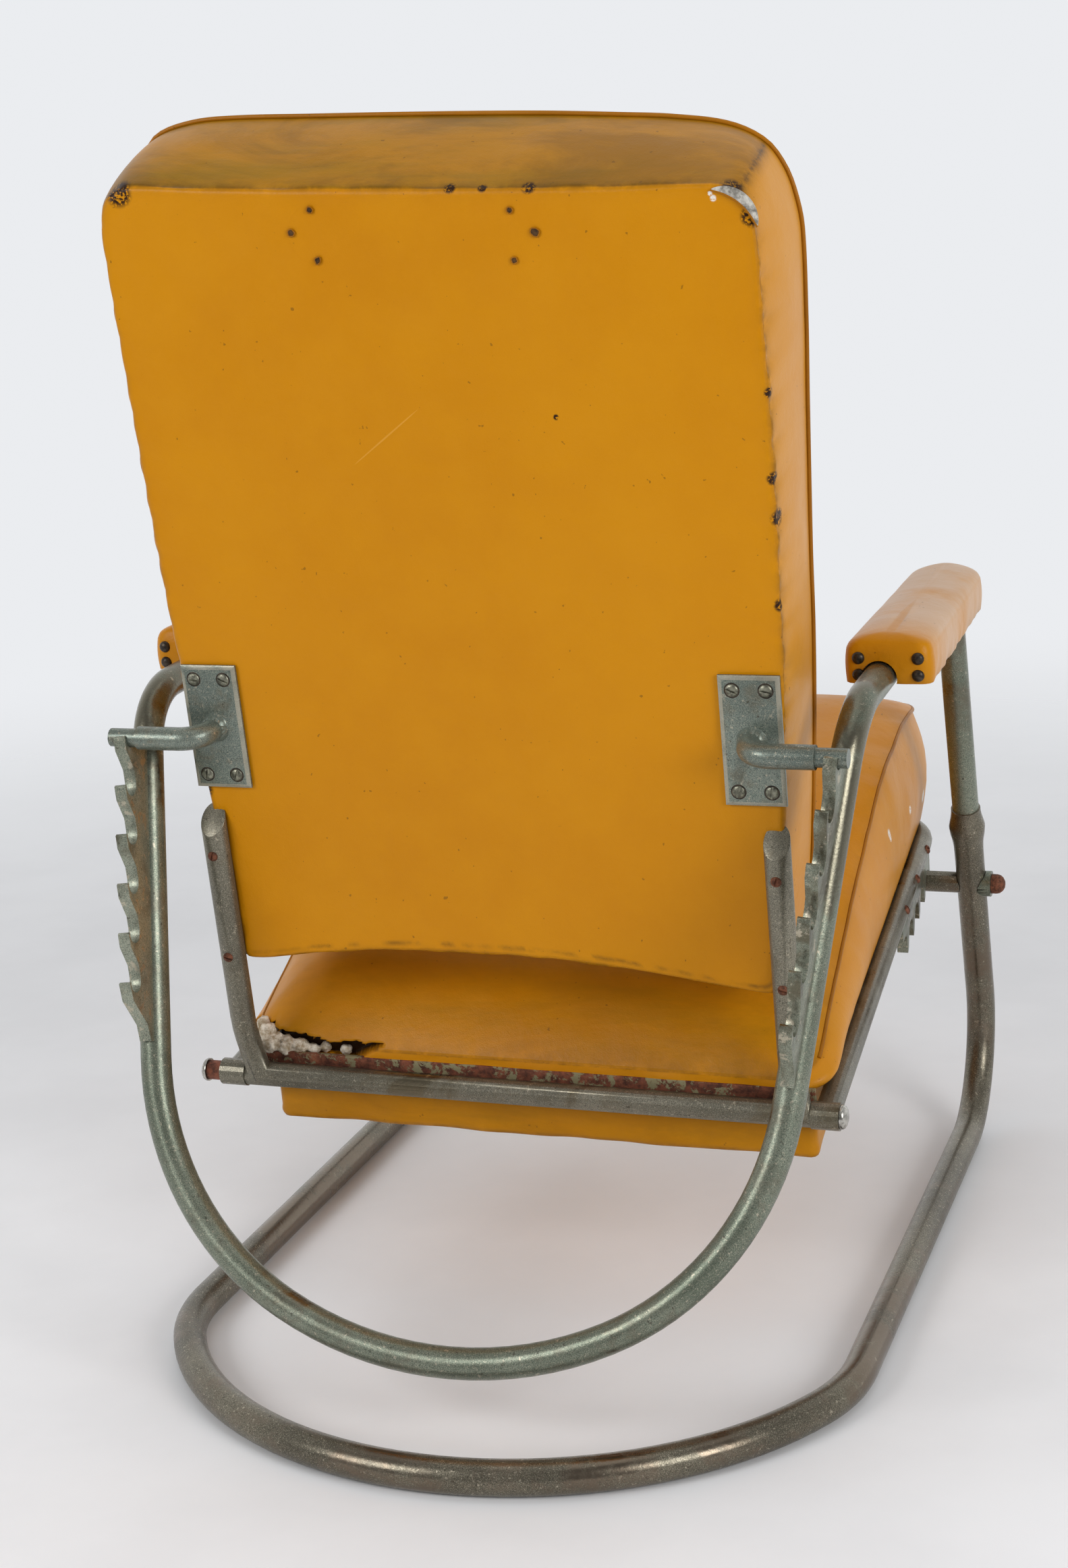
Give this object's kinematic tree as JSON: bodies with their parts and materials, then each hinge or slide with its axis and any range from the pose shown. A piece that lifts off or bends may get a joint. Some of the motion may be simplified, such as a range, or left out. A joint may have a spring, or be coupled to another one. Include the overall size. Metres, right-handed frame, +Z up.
{
  "type": "reclining lawn armchair",
  "caption": "Lawn armchair of bent steel tube on a looped base, with a padded vinyl back hung by pins in hooked racks and a hinged vinyl seat notched onto a front rod.",
  "frame": {"origin": "on the floor under the centre of the chair's bounding box", "axes": "+Z up, front of the seat toward -Y, sitter's left toward +X"},
  "size_m": [0.6738, 0.866, 1.0032],
  "materials": {
    "worn_steel": "worn brown grey paint on steel tube",
    "hammered_green": "hammered green grey paint on steel tube",
    "hammered_grey": "hammered grey paint on steel tube",
    "rack_steel": "worn paint on steel plate",
    "dark_steel": "dark worn paint on steel",
    "rust": "rusted steel",
    "bare_wood": "bare wood",
    "ochre_vinyl": "satin ochre vinyl"
  },
  "bodies": {
    "frame": {"base_frame": "worn_steel", "hoop_tube": "hammered_green", "front_rod": "rust", "back_rack_left": "rack_steel", "arm_board_left": "bare_wood", "arm_pad_left": "ochre_vinyl", "rod_washer_left": "rust", "rod_nut_left": "rust", "back_rack_right": "rack_steel", "arm_board_right": "bare_wood", "arm_pad_right": "ochre_vinyl", "rod_washer_right": "rust", "rod_nut_right": "rust"},
    "back": {"back_board": "ochre_vinyl", "back_cushion": "ochre_vinyl", "back_yoke": "hammered_grey", "hinge_rod": "rust", "pin_bracket_left": "dark_steel", "rod_cap_left": "rust", "pin_bracket_right": "dark_steel", "rod_cap_right": "rust"},
    "seat": {"seat_frame": "hammered_grey", "seat_rear_bar": "rust", "seat_box": "ochre_vinyl", "seat_cushion": "ochre_vinyl", "seat_rack_left": "rack_steel", "seat_rack_right": "rack_steel"}
  },
  "joints": [
    {"name": "back_recline", "type": "hinge", "parent": "frame", "child": "back", "pos_m": [0, 0.23603, 0.532], "axis": [-1, 0, 0], "range_deg": [0, 8]},
    {"name": "seat_hinge", "type": "hinge", "parent": "back", "child": "seat", "pos_m": [0, 0.15044, 0.2158], "axis": [-1, 0, 0], "range_deg": [0, 2.6]}
  ],
  "couplings": [
    {"joint": "seat_hinge", "follows": "back_recline", "ratio": 0.3}
  ]
}
